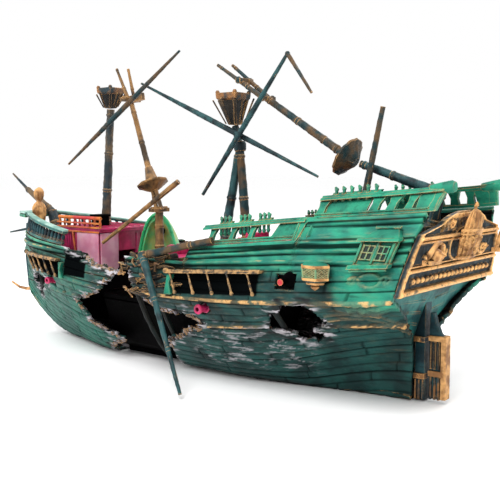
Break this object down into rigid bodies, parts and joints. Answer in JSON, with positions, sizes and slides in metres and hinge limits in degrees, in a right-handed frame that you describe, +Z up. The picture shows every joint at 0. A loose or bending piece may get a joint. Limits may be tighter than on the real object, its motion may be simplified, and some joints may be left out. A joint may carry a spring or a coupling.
{
  "type": "aquarium shipwreck ornament",
  "caption": "Air-operated broken galleon ornament: a hinged bow section rises on trapped air beside a fixed stern section, with a swinging rudder, leaning masts and a flat base.",
  "frame": {"origin": "on the flat underside of the hold, midway along the keel and on the centre line", "axes": "-X towards the bow, +X towards the stern, -Y towards the port side, +Z up"},
  "size_m": [0.2426, 0.0931, 0.1215],
  "materials": {
    "hull_paint": "teal paint with dark wash and gold dry-brushing",
    "keel_paint": "dark teal paint with dark wash",
    "rail_paint": "bright teal paint, edges dry-brushed gold",
    "gold_paint": "antique gold paint over slate blue",
    "deck_paint": "slate paint, plank lines washed dark",
    "mast_paint": "gold-brown paint mottled with slate teal",
    "pink_plastic": "raspberry plastic, slightly translucent",
    "green_plastic": "green plastic, slightly translucent",
    "hold_black": "smooth black plastic",
    "pin_steel": "plain stainless pin",
    "ballast_iron": "rough sealed ballast"
  },
  "bodies": {
    "stern_section": {"hold_hull": "hold_black", "ballast_slab": "ballast_iron", "hold_cover": "hold_black", "pivot_pin": "pin_steel", "air_nipple": "hold_black", "air_tube": "hold_black", "stern_keel": "keel_paint", "sternpost": "gold_paint", "stern_tuck": "keel_paint", "transom_panel": "gold_paint", "transom_lantern": "gold_paint", "transom_bracket_port": "gold_paint", "transom_bracket_starboard": "gold_paint", "quarter_deck": "pink_plastic", "poop_deck": "deck_paint", "main_mast": "mast_paint", "main_top": "mast_paint", "main_yard": "mast_paint", "mizzen_mast": "mast_paint", "mizzen_top": "mast_paint", "mizzen_topmast": "mast_paint", "mizzen_lower_yard": "mast_paint", "mizzen_upper_yard": "mast_paint", "broken_spar": "mast_paint", "stern_hull_port": "hull_paint", "poop_rail_port": "rail_paint", "quarter_rail_port": "rail_paint", "stern_channel_port": "gold_paint", "quarter_lantern_port": "gold_paint", "quarter_gallery_port": "rail_paint", "cannon_port_fore": "pink_plastic", "cannon_port_aft": "pink_plastic", "stern_hull_starboard": "hull_paint", "poop_rail_starboard": "rail_paint", "quarter_rail_starboard": "rail_paint", "stern_channel_starboard": "gold_paint", "quarter_lantern_starboard": "gold_paint", "quarter_gallery_starboard": "rail_paint", "cannon_starboard_fore": "pink_plastic", "cannon_starboard_aft": "pink_plastic"},
    "bow_section": {"bow_stem": "keel_paint", "forecastle_deck": "deck_paint", "waist_cabin": "pink_plastic", "bowsprit": "mast_paint", "bow_finial": "gold_paint", "fore_mast": "mast_paint", "fore_top": "mast_paint", "fore_topmast": "mast_paint", "fore_upper_yard": "mast_paint", "fore_lower_yard": "mast_paint", "green_bulwark": "green_plastic", "air_bell": "hold_black", "bow_hull_port": "hull_paint", "forecastle_rail_port": "rail_paint", "bow_channel_port": "gold_paint", "bow_hull_starboard": "hull_paint", "forecastle_rail_starboard": "rail_paint", "bow_channel_starboard": "gold_paint", "cannon_port_bow": "pink_plastic"},
    "rudder": {"rudder": "rail_paint"}
  },
  "joints": [
    {"name": "bow_lift", "type": "hinge", "parent": "stern_section", "child": "bow_section", "pos_m": [-0.03, 0, 0.036], "axis": [0, 1, 0], "range_deg": [0, 8]},
    {"name": "rudder_swing", "type": "hinge", "parent": "stern_section", "child": "rudder", "pos_m": [0.0844, 0, 0.015], "axis": [0, 0, 1], "range_deg": [-20, 20]}
  ]
}
